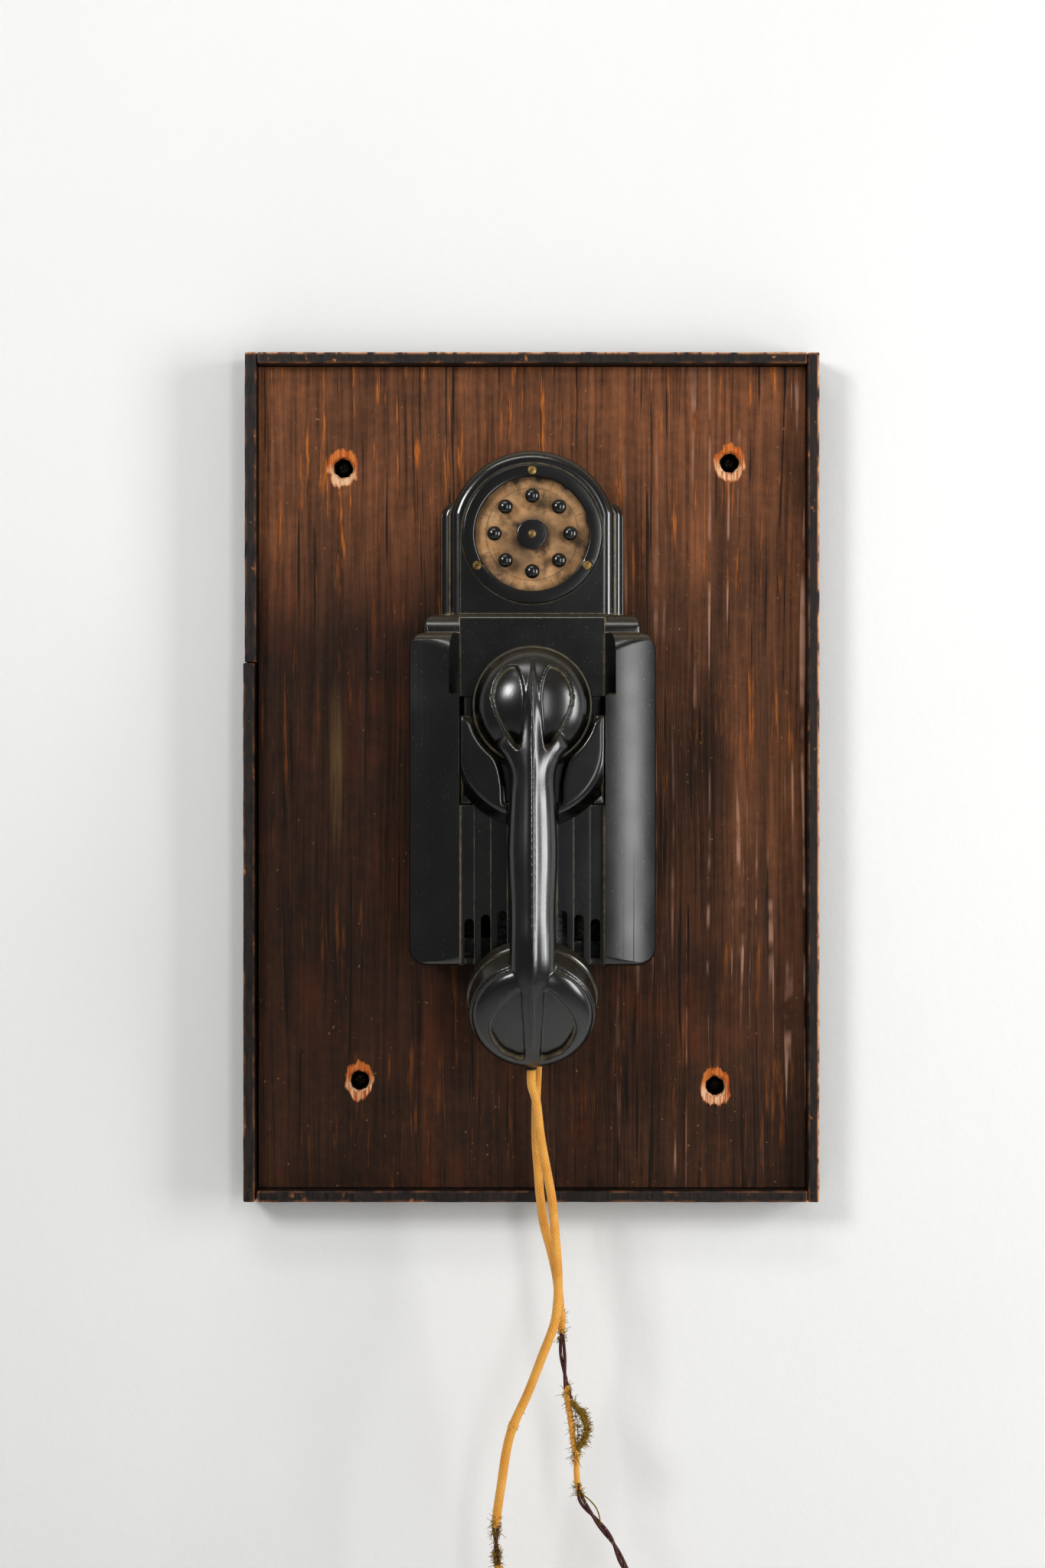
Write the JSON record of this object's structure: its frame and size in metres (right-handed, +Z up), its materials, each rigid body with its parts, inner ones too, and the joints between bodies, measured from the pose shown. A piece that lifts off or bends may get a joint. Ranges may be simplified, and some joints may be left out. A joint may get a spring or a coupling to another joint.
{
  "type": "wall intercom telephone",
  "caption": "Vintage black moulded wall intercom telephone on a stained wooden board: push-button selector, sliding hook cradle, hanging handset and cloth cord.",
  "frame": {"origin": "centre of the wooden board's back face, on the wall", "axes": "+Z up, +X to the right seen from the front, the front faces -Y and the wall lies towards +Y"},
  "size_m": [0.319, 0.1108, 0.7235],
  "materials": {
    "bakelite": "moulded phenolic, worn gloss, dusty",
    "stained_pine": "dark stained softwood, worn",
    "strip_wood": "black-brown stain, rubbed edges",
    "brass": "tarnished",
    "steel": "zinc plated",
    "black_steel": "black oxide",
    "card_paper": "aged card with stains",
    "insulator": "paper laminate",
    "enamel": "varnished winding",
    "tinplate": "tinned",
    "cord_cloth": "cotton braid, frayed",
    "rubber": "aged rubber"
  },
  "bodies": {
    "housing": {"back_plate": "bakelite", "neck_housing": "bakelite", "front_cover": "bakelite", "selector_ring": "bakelite", "clamp_disc": "bakelite", "board_panel": "stained_pine", "trim_right": "strip_wood", "trim_left_upper": "strip_wood", "trim_left_lower": "strip_wood", "trim_top": "strip_wood", "trim_bottom": "strip_wood", "board_screw_1": "black_steel", "terminal_screw_1": "brass", "board_screw_2": "black_steel", "terminal_screw_2": "brass", "board_screw_3": "black_steel", "terminal_screw_3": "brass", "board_screw_4": "black_steel", "terminal_screw_4": "brass", "plate_screw_1": "steel", "cover_screw_1": "black_steel", "plate_screw_2": "steel", "cover_screw_2": "black_steel", "ring_screw_1": "brass", "ring_screw_2": "brass", "ring_screw_3": "brass", "chassis_plate": "steel", "lever_pin": "steel", "lever_bracket": "steel", "buzzer_frame": "steel", "clamp_screw": "brass", "spring_star": "brass", "contact_pile": "insulator", "terminal_block": "insulator", "button_plate": "insulator", "contact_board": "insulator", "buzzer_coil": "enamel", "induction_coil": "enamel", "condenser": "tinplate", "dial_card": "card_paper", "handset_cord": "cord_cloth", "housing_grommet": "rubber"},
    "handset": {"handset_shell": "bakelite", "ear_cap": "bakelite", "receiver_capsule": "tinplate", "mouthpiece_cap": "bakelite", "transmitter_capsule": "tinplate", "handset_grommet": "rubber"},
    "hook": {"hook_cradle": "bakelite"},
    "lever": {"hook_lever": "brass"},
    "armature": {"buzzer_armature": "tinplate"},
    "button_1": {"button_1": "bakelite"},
    "button_2": {"button_2": "bakelite"},
    "button_3": {"button_3": "bakelite"},
    "button_4": {"button_4": "bakelite"},
    "button_5": {"button_5": "bakelite"},
    "button_6": {"button_6": "bakelite"},
    "button_7": {"button_7": "bakelite"},
    "button_8": {"button_8": "bakelite"}
  },
  "joints": [
    {"name": "handset_lift", "type": "slide", "parent": "housing", "child": "handset", "axis": [0, -0.521, 0.8536], "range_m": [0, 0.035]},
    {"name": "hook_travel", "type": "slide", "parent": "housing", "child": "hook", "axis": [0, 0, 1], "range_m": [0, 0.008], "stiffness_N_per_m": 100, "springref_m": 0.02},
    {"name": "lever_tilt", "type": "hinge", "parent": "housing", "child": "lever", "pos_m": [0, -0.028, -0.001], "axis": [-1, 0, 0], "range_deg": [0, 23]},
    {"name": "armature_rock", "type": "hinge", "parent": "housing", "child": "armature", "pos_m": [-0.037, -0.0245, -0.0588], "axis": [1, 0, 0], "range_deg": [0, 2.5], "stiffness_Nm_per_rad": 0.12},
    {"name": "button_1_press", "type": "slide", "parent": "housing", "child": "button_1", "axis": [0, 1, 0], "range_m": [0, 0.0035], "stiffness_N_per_m": 300},
    {"name": "button_2_press", "type": "slide", "parent": "housing", "child": "button_2", "axis": [0, 1, 0], "range_m": [0, 0.0035], "stiffness_N_per_m": 300},
    {"name": "button_3_press", "type": "slide", "parent": "housing", "child": "button_3", "axis": [0, 1, 0], "range_m": [0, 0.0035], "stiffness_N_per_m": 300},
    {"name": "button_4_press", "type": "slide", "parent": "housing", "child": "button_4", "axis": [0, 1, 0], "range_m": [0, 0.0035], "stiffness_N_per_m": 300},
    {"name": "button_5_press", "type": "slide", "parent": "housing", "child": "button_5", "axis": [0, 1, 0], "range_m": [0, 0.0035], "stiffness_N_per_m": 300},
    {"name": "button_6_press", "type": "slide", "parent": "housing", "child": "button_6", "axis": [0, 1, 0], "range_m": [0, 0.0035], "stiffness_N_per_m": 300},
    {"name": "button_7_press", "type": "slide", "parent": "housing", "child": "button_7", "axis": [0, 1, 0], "range_m": [0, 0.0035], "stiffness_N_per_m": 300},
    {"name": "button_8_press", "type": "slide", "parent": "housing", "child": "button_8", "axis": [0, 1, 0], "range_m": [0, 0.0035], "stiffness_N_per_m": 300}
  ],
  "couplings": [
    {"joint": "hook_travel", "follows": "handset_lift", "ratio": 0.22857},
    {"joint": "lever_tilt", "follows": "handset_lift", "rad_per_m": 11.428}
  ]
}
